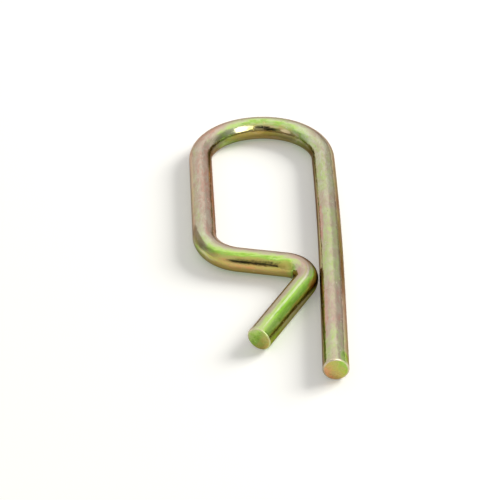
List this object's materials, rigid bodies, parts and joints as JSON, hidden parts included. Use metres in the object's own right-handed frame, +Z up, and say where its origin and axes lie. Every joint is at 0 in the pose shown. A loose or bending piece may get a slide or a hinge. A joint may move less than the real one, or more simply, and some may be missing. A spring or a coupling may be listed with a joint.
{
  "type": "hook-up wire clip",
  "caption": "Retaining clip bent from round spring wire: a long straight leg, a round crown, a short arm with a heel and a grip bend that nearly touches the leg, and a flared lead-in.",
  "frame": {"origin": "under the middle of the clip's outline, on the surface that it lies on", "axes": "+Z up, square to the flat plane of the clip; the long leg runs along Y with its free end towards -Y and the crown towards +Y; the short arm is on the -X side"},
  "size_m": [0.0314, 0.0846, 0.0048],
  "materials": {
    "plated_wire": "yellow zinc chromate plate, bright, with iridescent green, pink and gold streaks"
  },
  "bodies": {
    "root": {"wire_clip": "plated_wire"}
  },
  "joints": []
}
